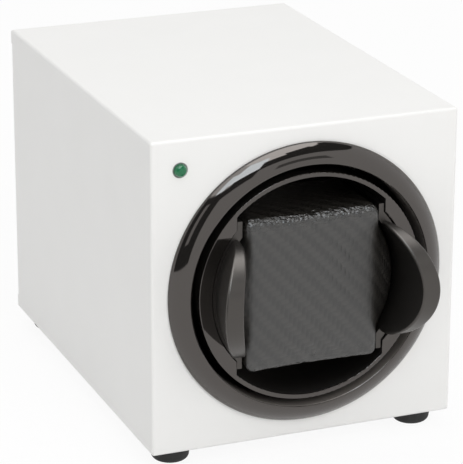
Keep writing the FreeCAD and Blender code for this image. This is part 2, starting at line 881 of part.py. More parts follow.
def make_gears():
    small, large, output = value("pinion_teeth"), value("wheel_teeth"), value("output_teeth")
    out_turn = math.radians(value("second_idler_angle"))
    second_turn = math.radians(value("first_idler_angle"))
    motor_turn = math.radians(value("motor_angle"))
    second_x, second_z = value(second_idler[0]), value(second_idler[1])
    first_x, first_z = value(first_idler[0]), value(first_idler[1])
    motor_x, motor_z = value(motor_axis[0]), value(motor_axis[1])
    layer_out, layer_mid, layer_motor = value(output_layer), value(middle_layer), value(motor_layer)
    face, wide, gap = value("wheel_face"), value("output_face"), value("gear_gap")
    front, rear = value(f"{gear_front} + plate_thickness + collar_gap"), value(f"{gear_rear} - collar_gap")
    collar, bore = value("collar_radius"), value("axle_radius + running_gap")

    second_phase = mesh_phase(output, 0, small, out_turn)
    first_phase = mesh_phase(large, second_phase, small, second_turn)
    motor_phase = mesh_phase(large, first_phase, small, motor_turn)

    hub = value("output_hub")
    gear_piece("output_gear", [
        toothed(output, 0, 0, 0, layer_out, wide),
        disc(hub, 0, 0, layer_out, layer_out + wide + gap),
    ], value("shaft_radius"), 0, 0, layer_out, layer_out + wide + gap)
    gear_piece("second_idler", [
        toothed(small, second_phase, second_x, second_z, layer_out, wide + gap),
        toothed(large, second_phase, second_x, second_z, layer_mid, face),
        disc(collar, second_x, second_z, front, rear),
    ], bore, second_x, second_z, front, rear)
    gear_piece("first_idler", [
        toothed(small, first_phase, first_x, first_z, layer_mid, face + gap),
        toothed(large, first_phase, first_x, first_z, layer_motor, face),
        disc(collar, first_x, first_z, front, rear),
    ], bore, first_x, first_z, front, rear)
    gear_piece("motor_pinion", [
        toothed(small, motor_phase, motor_x, motor_z, layer_motor, face),
        disc(collar, motor_x, motor_z, layer_motor, rear),
    ], value("motor_shaft_radius"), motor_x, motor_z, layer_motor, rear)


def make_axles():
    for name, centre in (("second_idler_axle", second_idler), ("first_idler_axle", first_idler)):
        body = new_body(name)
        pin = front_sketch(body, gear_front)
        circle(pin, *centre, "axle_radius")
        pad(body, pin, f"{motor_front} - {gear_front}")


def make_plates():
    for name, depth in (("gear_plate_front", gear_front), ("gear_plate_rear", gear_rear)):
        body = new_body(name)
        sketch = front_sketch(body, depth)
        rectangle(sketch, "-plate_left", "-plate_bottom", "plate_right", "plate_top")
        circles(sketch, plate_corners, "machine_screw_radius")
        circles(sketch, [second_idler, first_idler], "axle_radius")
        if name == "gear_plate_front":
            circle(sketch, "0", "0", "shaft_radius + plate_hole_gap")
        else:
            circle(sketch, "0", "0", "bush_radius")
            circle(sketch, *motor_axis, "motor_shaft_radius + motor_hole_gap")
            circles(sketch, motor_screws, "small_screw_radius")
        base = pad(body, sketch, "plate_thickness")
        thin = value("plate_thickness")

        def corner(edge):
            return isinstance(edge.Curve, Part.Line) and near(edge.BoundBox.YLength, thin)

        round_edges(body, base, corner, "plate_corner")

    spacers = new_body("plate_spacers")
    tubes = front_sketch(spacers, f"{gear_front} + plate_thickness")
    circles(tubes, plate_corners, "spacer_radius")
    circles(tubes, plate_corners, "machine_screw_radius")
    pad(spacers, tubes, f"{gear_rear} - {gear_front} - plate_thickness")

    screws = new_body("gearbox_screws")
    add_screws(screws, plate_corners, motor_front, f"{motor_front} - {housing_floor} - thrust_gap",
               "machine_screw", True)


def make_motor():
    can = new_body("motor_can")
    barrel = front_sketch(can, motor_front)
    circle(barrel, *motor_axis, "motor_radius")
    pad(can, barrel, "motor_length")
    bore = front_sketch(can, motor_front)
    circle(bore, *motor_axis, "motor_shaft_radius + running_gap")
    pocket(can, bore, "motor_length")
    holes = front_sketch(can, motor_front)
    circles(holes, motor_screws, "small_screw_radius")
    pocket(can, holes, "motor_screw_bite")

    cap = new_body("motor_end_cap")
    lid = front_sketch(cap, f"{motor_front} + motor_length")
    circle(lid, *motor_axis, "motor_radius - gear_gap")
    pad(cap, lid, "motor_cap_length")

    shaft = new_body("motor_shaft")
    rod = front_sketch(shaft, motor_layer)
    circle(rod, *motor_axis, "motor_shaft_radius")
    pad(shaft, rod, f"{motor_front} + motor_length - thrust_gap - {motor_layer}")

    screws = new_body("motor_screws")
    add_screws(screws, motor_screws, gear_rear, "plate_thickness + motor_screw_bite", "small_screw", False)


# Controls on the rear plate

def make_board():
    body = new_body("control_board")
    sketch = front_sketch(body, f"{board_back} - circuit_board")
    rectangle(sketch, "-circuit_width/2", "-circuit_height/2", "circuit_width/2", "circuit_height/2")
    circles(sketch, board_corners, "small_screw_radius")
    pad(body, sketch, "circuit_board")

    spacers = new_body("board_spacers")
    posts = front_sketch(spacers, board_back)
    circles(posts, board_corners, "board_spacer_radius")
    circles(posts, board_corners, "small_screw_radius")
    pad(spacers, posts, "board_standoff")

    screws = new_body("board_screws")
    add_screws(screws, board_corners, f"{board_back} - circuit_board", "circuit_board + board_standoff",
               "small_screw", False)


def make_control(name, centre):
    """Rotary switch on the board, the spindle through the rear plate and the pointer knob on it."""
    across, up = centre
    bore = "(shaft_radius + running_gap)"
    switch = new_body(f"{name}_switch")
    base = front_sketch(switch, board_back)
    rectangle(base, f"{across} - switch_size/2", f"{up} - switch_size/2", f"{across} + switch_size/2",
              f"{up} + switch_size/2")
    pad(switch, base, "board_standoff")
    neck = front_sketch(switch, plate_front)
    circle(neck, across, up, "switch_bush")
    pad(switch, neck, "rear_plate")
    hole = front_sketch(switch, plate_back)
    circle(hole, across, up, bore)
    pocket(switch, hole, "rear_plate + board_standoff/2", backwards=False)

    spindle = new_body(f"{name}_spindle")
    rod = front_sketch(spindle, f"{plate_front} - board_standoff/2 + thrust_gap")
    circle(rod, across, up, "shaft_radius")
    pad(spindle, rod, "board_standoff/2 - thrust_gap + rear_plate + knob_lift + knob_spindle_depth")

    knob = new_body(f"{name}_knob")
    start = f"({plate_back} + knob_lift)"
    skirt = front_sketch(knob, start)
    circle(skirt, across, up, "knob_radius")
    pad(knob, skirt, "knob_skirt")
    bar = front_sketch(knob, start)
    side = "(knob_bar/2)"
    tip = "sqrt((knob_radius - knob_lift)^2 - (knob_bar/2)^2)"
    outline(bar, [
        (f"{across} - {side}", f"{up} - {tip}", "knob_radius - knob_lift", 1),
        (f"{across} + {side}", f"{up} - {tip}"),
        (f"{across} + {side}", f"{up} + {tip}", "knob_radius - knob_lift", 1),
        (f"{across} - {side}", f"{up} + {tip}"),
    ])
    pad(knob, bar, "knob_depth")
    bush = front_sketch(knob, start)
    circle(bush, across, up, "shaft_radius + knob_skirt")
    pad(knob, bush, "knob_depth")
    socket = front_sketch(knob, start)
    circle(socket, across, up, "shaft_radius")
    pocket(knob, socket, "knob_spindle_depth")


def make_jack():
    body = new_body("dc_jack")
    box = front_sketch(body, board_back)
    low, high = "-jack_drop - jack_height/2", "-jack_drop + jack_height/2"
    rectangle(box, "-jack_width/2", low, "jack_width/2", high)
    pad(body, box, "board_standoff")
    collar = front_sketch(body, plate_front)
    circle(collar, "0", "-jack_drop", "jack_collar")
    pad(body, collar, "rear_plate")
    bore = front_sketch(body, plate_back)
    circle(bore, "0", "-jack_drop", "jack_bore")
    circle(bore, "0", "-jack_drop", "jack_pin")
    pocket(body, bore, "jack_bore_depth", backwards=False)


# Places of what repeats
lamp_centre = (f"-({half_width} - lamp_inset)", f"{half_height} - lamp_inset")
foot_side = f"({half_width} - foot_inset)"
foot_centres = {
    "front_left_foot": (f"-{foot_side}", "foot_inset"),
    "front_right_foot": (foot_side, "foot_inset"),
    "rear_left_foot": (f"-{foot_side}", "case_depth - foot_inset"),
    "rear_right_foot": (foot_side, "case_depth - foot_inset"),
}
rear_screws = four(f"{inner_half_width} - corner_block/2", f"{inner_half_height} - corner_block/2")
ear_centres = four("ear_pitch*sqrt(0.5)", "ear_pitch*sqrt(0.5)")
plate_corners = [(x, z) for x in ("-(plate_left - plate_corner)", "plate_right - plate_corner")
                 for z in ("-(plate_bottom - plate_corner)", "plate_top - plate_corner")]
wheel_distance = "((pinion_teeth + wheel_teeth)*gear_module/2)"
output_distance = "((pinion_teeth + output_teeth)*gear_module/2)"
second_idler = (f"{output_distance}*cos(second_idler_angle*1deg)",
                f"{output_distance}*sin(second_idler_angle*1deg)")
first_idler = (f"{second_idler[0]} + {wheel_distance}*cos(first_idler_angle*1deg)",
               f"{second_idler[1]} + {wheel_distance}*sin(first_idler_angle*1deg)")
motor_axis = (f"{first_idler[0]} + {wheel_distance}*cos(motor_angle*1deg)",
              f"{first_idler[1]} + {wheel_distance}*sin(motor_angle*1deg)")
motor_screws = [(f"{motor_axis[0]} {a} motor_screw_pitch*sin(motor_angle*1deg)",
                 f"{motor_axis[1]} {b} motor_screw_pitch*cos(motor_angle*1deg)") for a, b in ("-+", "+-")]
knob_centres = {"turns": ("knob_spacing/2", "knob_height"), "direction": ("-knob_spacing/2", "knob_height")}
board_corners = four("circuit_width/2 - circuit_corner", "circuit_height/2 - circuit_corner")

make_boards()
make_rear_panel()
make_feet()
make_bezel()
make_lamp()
make_housing()
make_bush("front_bush", housing_floor, "housing_back")
make_drum()
make_shaft()
make_cuff()
make_gears()
make_axles()
make_plates()
make_bush("rear_bush", gear_rear, "plate_thickness")
make_motor()
make_board()
for control, centre in knob_centres.items():
    make_control(control, centre)
make_jack()
doc.recompute()

for thing in doc.Objects:
    if "Invalid" in thing.State or "Error" in thing.State:
        raise RuntimeError(f"{thing.Label} did not build: {thing.State}")
for piece in pieces:
    if piece.Shape.isNull() or not piece.Shape.isValid():
        raise RuntimeError(f"{piece.Label} has no valid shape")

os.makedirs("parts", exist_ok=True)
for piece in pieces:
    piece.Shape.exportStep(f"parts/{piece.Label}.step")
    print(piece.Label, len(piece.Shape.Solids), round(piece.Shape.Volume, 1))
print(len(pieces), "pieces")
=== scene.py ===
import json
import math

import bmesh
import bpy
from mathutils import Matrix, Vector

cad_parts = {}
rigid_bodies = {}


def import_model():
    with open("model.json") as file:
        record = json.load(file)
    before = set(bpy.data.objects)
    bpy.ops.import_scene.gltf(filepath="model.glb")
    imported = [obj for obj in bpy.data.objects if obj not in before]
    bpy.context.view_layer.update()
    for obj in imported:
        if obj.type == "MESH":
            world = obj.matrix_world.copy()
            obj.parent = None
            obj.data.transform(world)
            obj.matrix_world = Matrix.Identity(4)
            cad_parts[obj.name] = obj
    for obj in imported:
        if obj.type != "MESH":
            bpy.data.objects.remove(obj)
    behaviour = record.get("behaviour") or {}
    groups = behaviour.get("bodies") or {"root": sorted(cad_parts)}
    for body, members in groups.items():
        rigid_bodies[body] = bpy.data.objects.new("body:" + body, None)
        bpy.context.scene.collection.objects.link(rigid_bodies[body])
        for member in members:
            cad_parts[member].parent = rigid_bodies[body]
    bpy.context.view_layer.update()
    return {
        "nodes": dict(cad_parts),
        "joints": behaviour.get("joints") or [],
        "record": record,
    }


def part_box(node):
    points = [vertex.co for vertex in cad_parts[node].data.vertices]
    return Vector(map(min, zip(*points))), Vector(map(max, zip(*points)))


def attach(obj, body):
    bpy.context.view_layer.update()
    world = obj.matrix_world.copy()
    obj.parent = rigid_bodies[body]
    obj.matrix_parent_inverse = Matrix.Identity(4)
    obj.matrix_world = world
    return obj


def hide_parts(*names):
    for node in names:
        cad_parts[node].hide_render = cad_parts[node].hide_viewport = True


# Watch winder box, dressed for the camera. The dictionaries of the pieces give millimetres. Meshes, the studio
# and the camera are in metres.

for leftover in list(bpy.data.objects):
    bpy.data.objects.remove(leftover)

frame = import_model()
nodes = frame["nodes"]
mm = 0.001

drumJoint = next(joint for joint in frame["joints"] if joint["name"] == "drum_spin")
frontY = drumJoint["pos_m"][1]  # face of the front board
axisZ = drumJoint["pos_m"][2]  # height of the drum's axis
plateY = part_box("rear_panel")[1][1]  # outer face of the rear plate
print("frame loaded:", len(nodes), "nodes")


# Node sockets with arithmetic, for shaders and for geometry trees

class Wire:
    def __init__(self, tree, socket):
        self.tree = tree
        self.socket = socket

    def plug(self, target, value):
        if isinstance(value, Wire):
            self.tree.links.new(value.socket, target)
        else:
            target.default_value = value

    def node(self, kind, settings=None, inputs=None, output=0):
        made = self.tree.nodes.new(kind)
        for name, value in (settings or {}).items():
            setattr(made, name, value)
        for name, value in (inputs or {}).items():
            self.plug(made.inputs[name], value)
        return Wire(self.tree, made.outputs[output])

    def math(self, operation, first, second=0.0):
        return self.node("ShaderNodeMath", {"operation": operation}, {0: first, 1: second})

    def __add__(self, other):
        return self.math("ADD", self, other)

    def __sub__(self, other):
        return self.math("SUBTRACT", self, other)

    def __rsub__(self, other):
        return self.math("SUBTRACT", other, self)

    def __mul__(self, other):
        return self.math("MULTIPLY", self, other)

    def __truediv__(self, other):
        return self.math("DIVIDE", self, other)

    def __gt__(self, other):
        return self.math("GREATER_THAN", self, other)

    def floor(self):
        return self.math("FLOOR", self)

    def sine(self):
        return self.math("SINE", self)

    def cosine(self):
        return self.math("COSINE", self)

    def size(self):
        return self.math("ABSOLUTE", self)

    def atLeast(self, other):
        return self.math("MAXIMUM", self, other)

    def atMost(self, other):
        return self.math("MINIMUM", self, other)

    def between(self, low, high):  # nought gives the low value, one the high one
        return self * (high - low) + low

    def noise(self, grain, detail=2.0):  # grain is the size of a fleck in millimetres
        inputs = {"Vector": self, "Scale": 1 / (grain * mm), "Detail": detail}
        return self.node("ShaderNodeTexNoise", None, inputs, "Fac")

    def blend(self, first, second):  # this value picks between two colours
        inputs = {0: self, 6: (*first, 1), 7: (*second, 1)}
        return self.node("ShaderNodeMix", {"data_type": "RGBA"}, inputs, 2)

    def bump(self, depth):  # depth in millimetres
        return self.node("ShaderNodeBump", None, {"Height": self, "Distance": depth * mm})


def newMaterial(name):
    material = bpy.data.materials.new(name)
    material.use_nodes = True
    return material, material.node_tree


def newFinish(name, **constants):
    material, tree = newMaterial(name)
    shader = tree.nodes["Principled BSDF"]
    for socket, value in constants.items():
        shader.inputs[socket.replace("_", " ")].default_value = value
    place = Wire(tree, tree.nodes.new("ShaderNodeTexCoord").outputs["Object"])

    def feed(**links):
        for socket, value in links.items():
            place.plug(shader.inputs[socket.replace("_", " ")], value)

    return material, place, feed


def grey(level):
    return (level, level, level)


def warmBlack(level):  # black plastic that leans a little to brown
    return (level * 1.1, level, level * 0.92)


def darker(colour, share):
    return tuple(share * part for part in colour)


# Finishes, one function each

def whiteLacquer():
    look = {"fresh": (0.838, 0.834, 0.820), "shade": (0.822, 0.818, 0.803)}
    material, place, feed = newFinish("white_lacquer", Specular_IOR_Level=0.4)
    cloud = place.noise(grain=22.0, detail=3.0)
    peel = place.noise(grain=1.4)
    feed(Base_Color=cloud.blend(look["fresh"], look["shade"]),
         Roughness=cloud.between(0.36, 0.44),
         Normal=peel.bump(depth=0.01))
    return material


def rawWood():
    look = {"pale": (0.55, 0.40, 0.24), "dark": (0.40, 0.27, 0.15)}
    material, place, feed = newFinish("raw_wood")
    stretched = place.node("ShaderNodeMapping", None, {"Vector": place, "Scale": (1, 0.08, 1)})
    ring = stretched.noise(grain=1.6, detail=4.0)
    feed(Base_Color=ring.blend(look["pale"], look["dark"]),
         Roughness=ring.between(0.6, 0.8),
         Normal=ring.bump(depth=0.08))
    return material


def mouldedBlack(name, level, roughness, grain, depth, shine=0.5):
    material, place, feed = newFinish(name, Specular_IOR_Level=shine, Specular_Tint=(1.0, 0.93, 0.87, 1))
    fleck = place.noise(grain, detail=3.0)
    patch = place.noise(grain * 30)
    feed(Base_Color=patch.blend(warmBlack(level), warmBlack(level * 1.35)),
         Roughness=patch.between(roughness - 0.04, roughness + 0.04),
         Normal=fleck.bump(depth))
    return material


def glossBlack(name, radius, depth, level):
    # polished in front; inside the radius and behind the depth it is left satin as it came from the mould and
    # takes the level given as its colour, which on the bezel's inner wall is a painted light grey standing in for
    # the light that barely reaches that wall through the gap
    look = {"deep": 0.0045, "haze": 0.0065, "smear": 0.05, "polish": 0.035, "moulded": 0.4}
    material, place, feed = newFinish(name, IOR=1.6, Specular_IOR_Level=0.85, Specular_Tint=(1.0, 0.92, 0.87, 1))
    split = place.node("ShaderNodeSeparateXYZ", None, {0: place}).socket.node.outputs
    across, back, up = (Wire(place.tree, part) for part in split)
    up = up - axisZ
    inside = ((radius * mm) ** 2 - (across * across + up * up) > 0.0) * (back > frontY + depth * mm)
    smear = place.noise(grain=9.0, detail=4.0)
    polished = smear.blend(warmBlack(look["deep"]), warmBlack(look["haze"]))
    # colour of the wall: the drum's own black in its well, a painted light grey on the bezel's inner wall
    moulded = (*warmBlack(level), 1)
    feed(Base_Color=place.node("ShaderNodeMix", {"data_type": "RGBA"}, {0: inside, 6: polished, 7: moulded}, 2),
         Roughness=smear * look["smear"] + look["polish"] + inside * look["moulded"])
    return material


def footRubber():
    material, place, feed = newFinish("foot_rubber", Specular_IOR_Level=0.35)
    fleck = place.noise(grain=0.35, detail=3.0)
    dust = place.noise(grain=3.0)
    feed(Base_Color=dust.blend(grey(0.017), grey(0.03)),
         Roughness=dust.between(0.6, 0.75),
         Normal=fleck.bump(depth=0.05))
    return material


def carbonWeave():
    # twill of flat tows, two over and two under, embossed in a black coated cloth and drawn flat over its edges
    look = {"towAcross": 1.80, "towUp": 1.95, "warp": (0.0100, 0.0091, 0.0078), "weft": (0.0222, 0.0204, 0.0178),
            "depth": 0.14, "roughness": 0.34, "patchShine": 0.1, "fibreShine": 0.12, "fibreRise": 0.4,
            "flatAcross": 11.0, "flatUp": 24.5, "flatOver": 6.0, "lobe": 33.0, "lobeOver": 4.0, "flatter": 0.85,
            "flatterEnds": 0.4, "pebbleFront": 0.25, "pebbleEdge": 4.2, "shineEnds": 0.19}
    material, place, feed = newFinish("weave_leatherette", Specular_IOR_Level=1.0)
    surface = place.node("ShaderNodeUVMap", {"uv_map": "weave"})
    split = place.node("ShaderNodeSeparateXYZ", None, {0: surface}).socket.node.outputs
    side, height = (Wire(place.tree, part) / mm for part in split[:2])
    ends = ((height.size() - look["flatUp"]) / look["flatOver"]).atLeast(0.0).atMost(1.0)
    sides = (side.size() - look["flatAcross"]) / look["flatOver"]
    sides = sides.atMost((look["lobe"] - side.size()) / look["lobeOver"]).atLeast(0.0).atMost(1.0)
    across, up = side / look["towAcross"], height / look["towUp"]
    column, row = across.floor(), up.floor()
    inColumn, inRow = across - column - 0.5, up - row - 0.5
    quarter = math.pi / 2
    warp = (1 - inColumn * inColumn * 4) * ((column + up) * quarter).sine().atLeast(0.0)
    weft = (1 - inRow * inRow * 4) * (0 - ((across + row) * quarter).sine()).atLeast(0.0)
    tow = warp.atLeast(weft) * (1 - (sides * look["flatter"]).atLeast(ends * look["flatterEnds"]))
    fibre = place.noise(grain=0.18)
    pebble = place.noise(grain=1.3)
    patch = place.noise(grain=7.0)
    coarse = ends.between(look["pebbleFront"], look["pebbleEdge"])
    shine = patch * look["patchShine"] + fibre * look["fibreShine"] + (look["roughness"] - look["patchShine"])
    feed(Base_Color=(warp - weft + 0.5).blend(look["weft"], look["warp"]),
         Roughness=shine - ends * look["shineEnds"],
         Normal=(tow + fibre * look["fibreRise"] + pebble * coarse).bump(look["depth"]))
    return material


def padFoam():
    material, place, feed = newFinish("pad_foam")
    cell = place.noise(grain=0.5, detail=3.0)
    feed(Base_Color=cell.blend((0.45, 0.44, 0.40), (0.60, 0.59, 0.55)),
         Roughness=cell.between(0.85, 0.95),
         Normal=cell.bump(depth=0.3))
    return material


def lampGreen():
    # the dome's green is painted darker and lighter in patches: painted shade and painted glow, standing in for
    # light gathered inside the dome
    look = {"deep": (0.004, 0.085, 0.032), "lit": (0.010, 0.19, 0.075)}
    material, place, feed = newFinish("lamp_green", Coat_Weight=0.8, Coat_Roughness=0.04, Specular_IOR_Level=0.1)
    paintedGlowPatches = place.noise(grain=1.6)
    feed(Base_Color=paintedGlowPatches.blend(look["deep"], look["lit"]), Roughness=paintedGlowPatches.between(0.14, 0.24))
    return material


def brushedMetal(name, colour, roughness, grain):
    material, place, feed = newFinish(name, Metallic=1.0)
    scratch = place.noise(grain, detail=4.0)
    stain = place.noise(grain=6.0)
    feed(Base_Color=stain.blend(colour, darker(colour, 0.85)),
         Roughness=scratch.between(roughness - 0.1, roughness + 0.1),
         Normal=scratch.bump(depth=0.01))
    return material


def mouldedPale(name, colour, roughness):
    material, place, feed = newFinish(name, Subsurface_Weight=0.1)
    patch = place.noise(grain=4.0)
    fleck = place.noise(grain=0.4, detail=3.0)
    feed(Base_Color=patch.blend(colour, darker(colour, 0.9)),
         Roughness=fleck.between(roughness - 0.05, roughness + 0.05),
         Normal=fleck.bump(depth=0.02))
    return material


def boardGreen():
    material, place, feed = newFinish("board_green", Coat_Weight=0.3)
    cloth = place.noise(grain=0.6)
    feed(Base_Color=cloth.blend((0.012, 0.10, 0.04), (0.02, 0.16, 0.065)), Roughness=cloth.between(0.3, 0.4))
    return material


finishes = {
    "white_lacquer": whiteLacquer(),
    "raw_wood": rawWood(),
    "rear_black": mouldedBlack("rear_black", 0.013, roughness=0.55, grain=0.5, depth=0.08, shine=0.4),
    "foot_rubber": footRubber(),
    "gloss_black": glossBlack("gloss_black", radius=44.2, depth=-4.9, level=0.006),
    # level 0.13 is painted light: the bezel's inner wall is greyed to stand in for light that barely reaches it
    "bezel_black": glossBlack("bezel_black", radius=48.5, depth=-20.0, level=0.13),
    "housing_black": mouldedBlack("housing_black", 0.012, roughness=0.4, grain=0.6, depth=0.03),
    "lamp_ring": mouldedPale("lamp_ring", (0.15, 0.18, 0.16), roughness=0.35),
    "cuff_black": mouldedBlack("cuff_black", 0.006, roughness=0.36, grain=0.35, depth=0.015, shine=1.0),
    "weave_leatherette": carbonWeave(),
    "pad_foam": padFoam(),
    "lamp_green": lampGreen(),
    "zinc_steel": brushedMetal("zinc_steel", (0.62, 0.63, 0.65), roughness=0.38, grain=0.3),
    "bright_steel": brushedMetal("bright_steel", (0.70, 0.70, 0.71), roughness=0.25, grain=0.2),
    "bush_bronze": brushedMetal("bush_bronze", (0.60, 0.42, 0.20), roughness=0.45, grain=0.3),
    "gear_nylon": mouldedPale("gear_nylon", (0.80, 0.78, 0.72), roughness=0.5),
    "board_green": boardGreen(),
    "control_black": mouldedBlack("control_black", 0.008, roughness=0.27, grain=0.4, depth=0.012, shine=0.7),
    "spacer_nylon": mouldedPale("spacer_nylon", (0.78, 0.77, 0.73), roughness=0.55),
}
slotOf = {part["node"]: part["material_slot"] for part in frame["record"]["subparts"]}
for name, node in nodes.items():
    node.data.materials.clear()
    node.data.materials.append(finishes[slotOf[name]])
print("finishes made:", len(finishes))


# Mesh helpers

def newObject(name, data):
    made = bpy.data.objects.new(name, data)
    bpy.context.scene.collection.objects.link(made)
    return made


def meshObject(name, mesh):
    shape = bpy.data.meshes.new(name)
    mesh.to_mesh(shape)
    mesh.free()
    return newObject(name, shape)


def finishPiece(piece, body, slot, *stoodFor, finish=None):
    piece.data.materials.clear()
    piece.data.materials.append(finishes[finish or slot])
    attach(piece, body)
    if stoodFor:
        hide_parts(*stoodFor)
    return piece


def applyModifiers(piece):
    evaluated = piece.evaluated_get(bpy.context.evaluated_depsgraph_get())
    shape = bpy.data.meshes.new_from_object(evaluated)
    old = piece.data
    piece.modifiers.clear()
    piece.data = shape
    bpy.data.meshes.remove(old)


def smoothBelow(shape, degrees=35):
    shape.shade_smooth()
    shape.set_sharp_from_angle(angle=math.radians(degrees))


def cleanUp(mesh, least):  # least is in metres
    bmesh.ops.remove_doubles(mesh, verts=mesh.verts, dist=least)
    bmesh.ops.dissolve_degenerate(mesh, edges=mesh.edges, dist=least)


def arc(centre, radius, first, last, steps):  # points of an arc, angles in degrees
    turns = [math.radians(first + (last - first) * step / steps) for step in range(steps + 1)]
    return [(centre[0] + radius * math.cos(turn), centre[1] + radius * math.sin(turn)) for turn in turns]


def lathe(name, profile, centre, segments):
    # profile is a closed line of (radius, depth) in millimetres, turned round an axis along y
    mesh = bmesh.new()
    rings = []
    for step in range(segments):
        turn = 2 * math.pi * step / segments
        rings.append([mesh.verts.new((centre[0] + radius * mm * math.cos(turn), centre[1] + depth * mm,
                                      centre[2] + radius * mm * math.sin(turn))) for radius, depth in profile])
    for ring, following in zip(rings, rings[1:] + rings[:1]):
        for k in range(len(profile)):
            after = (k + 1) % len(profile)
            mesh.faces.new((ring[k], ring[after], following[after], following[k]))
    cleanUp(mesh, least=1e-7)
    bmesh.ops.recalc_face_normals(mesh, faces=mesh.faces)
    turned = meshObject(name, mesh)
    smoothBelow(turned.data)
    return turned


# Bezel ring round the drum

bezel = {"radius": 56.0, "inner": 48.4, "neck": 52.3, "edge": 1.0, "proud": 5.8, "crown": 11.0, "lip": 0.7,
         "board": 6.0, "segments": 288, "crownSteps": 28, "lipSteps": 8}


def makeBezel():
    b = bezel
    start = Vector((b["inner"] + b["lip"], -b["proud"]))
    end = Vector((b["radius"], -b["edge"]))
    chord = end - start
    side = Vector((-chord.y, chord.x)).normalized()
    centre = (start + end) / 2 + side * math.sqrt(b["crown"] ** 2 - chord.length_squared / 4)
    angles = [math.degrees(math.atan2(point.y - centre.y, point.x - centre.x)) for point in (start, end)]
    lipCentre = (b["inner"] + b["lip"], b["lip"] - b["proud"])
    profile = [(b["inner"], b["board"])]
    profile += arc(lipCentre, b["lip"], 180, 270, b["lipSteps"])
    profile += arc(centre, b["crown"], angles[0], angles[1], b["crownSteps"])[1:]
    profile += [(b["radius"], 0.0), (b["neck"], 0.0), (b["neck"], b["board"])]
    ring = lathe("bezel_ring", profile, (0, frontY, axisZ), b["segments"])
    return finishPiece(ring, "case", "gloss_black", "front_bezel", finish="bezel_black")


makeBezel()
print("bezel turned")


# Watch cushion: the cover drawn over its foam, blown up a little by a cloth run

cushion = {"voxel": 1.0, "rub": 0.5, "rubs": 2, "pressure": 4.0, "stretch": 40, "bend": 2.0, "frames": 20,
           "cap": 0.5, "held": 6.0,
           "halfWidth": 27.4, "halfHeight": 30.7, "edge": 5.4, "upperEdge": 7.2, "lowerEdge": 2.2, "corner": 4.6,
           "pull": 0.4, "droop": 0.7, "wider": 0.9, "widerAt": 24, "widerTo": 31, "widerOver": 4, "edgeBand": 2.0,
           "sideRubs": 36, "sideFrom": 17.5, "sideTo": 23.0, "sideHalf": 24.0, "sideOver": 4, "sideDepth": 12}


def joinedCopy(name, sources):
    mesh = bmesh.new()
    for source in sources:
        mesh.from_mesh(nodes[source].data)
    bmesh.ops.remove_doubles(mesh, verts=mesh.verts, dist=2e-6)
    return meshObject(name, mesh)


def swell(piece, c):
    rest = [point.co.copy() for point in piece.data.vertices]
    back = max(point.y for point in rest)
    grip = piece.vertex_groups.new(name="held")
    grip.add([k for k, point in enumerate(rest) if point.y > back - c["held"] * mm], 1.0, "REPLACE")
    cloth = piece.modifiers.new("cloth", "CLOTH")
    cloth.settings.vertex_group_mass = "held"
    cloth.settings.use_pressure = True
    cloth.settings.uniform_pressure_force = c["pressure"]
    cloth.settings.effector_weights.gravity = 0.0
    cloth.settings.tension_stiffness = cloth.settings.compression_stiffness = c["stretch"]
    cloth.settings.bending_stiffness = c["bend"]
    scene = bpy.context.scene
    for step in range(1, c["frames"] + 1):
        scene.frame_set(step)
    applyModifiers(piece)
    scene.frame_set(1)
    for point, start in zip(piece.data.vertices, rest):
        move = point.co - start
        if move.length > c["cap"] * mm:
            point.co = start + move * (c["cap"] * mm / move.length)


def squareUp(over, out, reach, radius):
    # moves a point of a corner rounded to the reach out to a corner rounded to a smaller radius
    length = math.hypot(over, out)
    along, across = over / length, out / length
    flat = reach - radius
    middle = (along + across) * flat  # the ray meets the round of the corner, or one of its two sides
    met = middle + math.sqrt(max(middle ** 2 - 2 * flat ** 2 + radius ** 2, 0.0))
    if met * along < flat or met * across < flat:
        met = reach / max(along, across)
    return met / reach


def drawTight(piece, c):
    # the upper edge is rounder and the lower one fuller than the solid's, the sides stand a little wider, and both
    # ends bow in between round corners
    sizes = ("halfWidth", "halfHeight", "edge", "corner", "upperEdge")
    wide, top, edge, corner, upper = (c[key] * mm for key in sizes)
    points = piece.data.vertices
    band = c["edgeBand"] * mm
    front = min(point.co.y for point in points if abs(abs(point.co.z - axisZ) - top + edge) < band)
    for point in points:
        height, side = point.co.z - axisZ, abs(point.co.x)
        over, out = height - (top - upper), front + upper - point.co.y
        reach = math.hypot(over, out)
        if over > 0 and out > 0 and reach > upper:
            height = top - upper + over * upper / reach
            point.co.y = front + upper - out * upper / reach
        over, out = -height - (top - edge), front + edge - point.co.y
        if over > 0 and out > 0:
            grown = squareUp(over, out, edge, c["lowerEdge"] * mm)
            height = -(top - edge + over * grown)
            point.co.y = front + edge - out * grown
        fade = min(max(c["widerTo"] - side / mm, 0.0) / c["widerOver"], 1.0)
        side += c["wider"] * mm * min(side / (c["widerAt"] * mm), 1.0) * fade
        over, out = abs(height) - (top - corner), side - (wide - corner)
        reach = math.hypot(over, out)
        if over > 0 and out > 0 and reach > corner:
            height = math.copysign(top - corner + over * corner / reach, height)
            side = wide - corner + out * corner / reach
        point.co.x = math.copysign(side, point.co.x)
        if height < 0:
            height -= c["droop"] * mm * (height / top) ** 2
        bow = c["pull"] * mm * (1 - min(side / wide, 1.0) ** 2) * (height / top) ** 2
        point.co.z = axisZ + height - math.copysign(bow, height)


def softenSides(piece, c):
    # the front of the pad rolls over into the side lobes without a crease
    front = min(point.co.y for point in piece.data.vertices)
    near = piece.vertex_groups.new(name="sides")
    for point in piece.data.vertices:
        share = (abs(point.co.x) / mm - c["sideFrom"]) / (c["sideTo"] - c["sideFrom"])
        fade = (c["sideHalf"] - abs(point.co.z - axisZ) / mm) / c["sideOver"]
        if share > 0 and fade > 0 and point.co.y < front + c["sideDepth"] * mm:
            near.add([point.index], min(share, 1.0) * min(fade, 1.0), "REPLACE")
    smooth = piece.modifiers.new("sides", "SMOOTH")
    smooth.factor = c["rub"]
    smooth.iterations = c["sideRubs"]
    smooth.vertex_group = "sides"
    applyModifiers(piece)


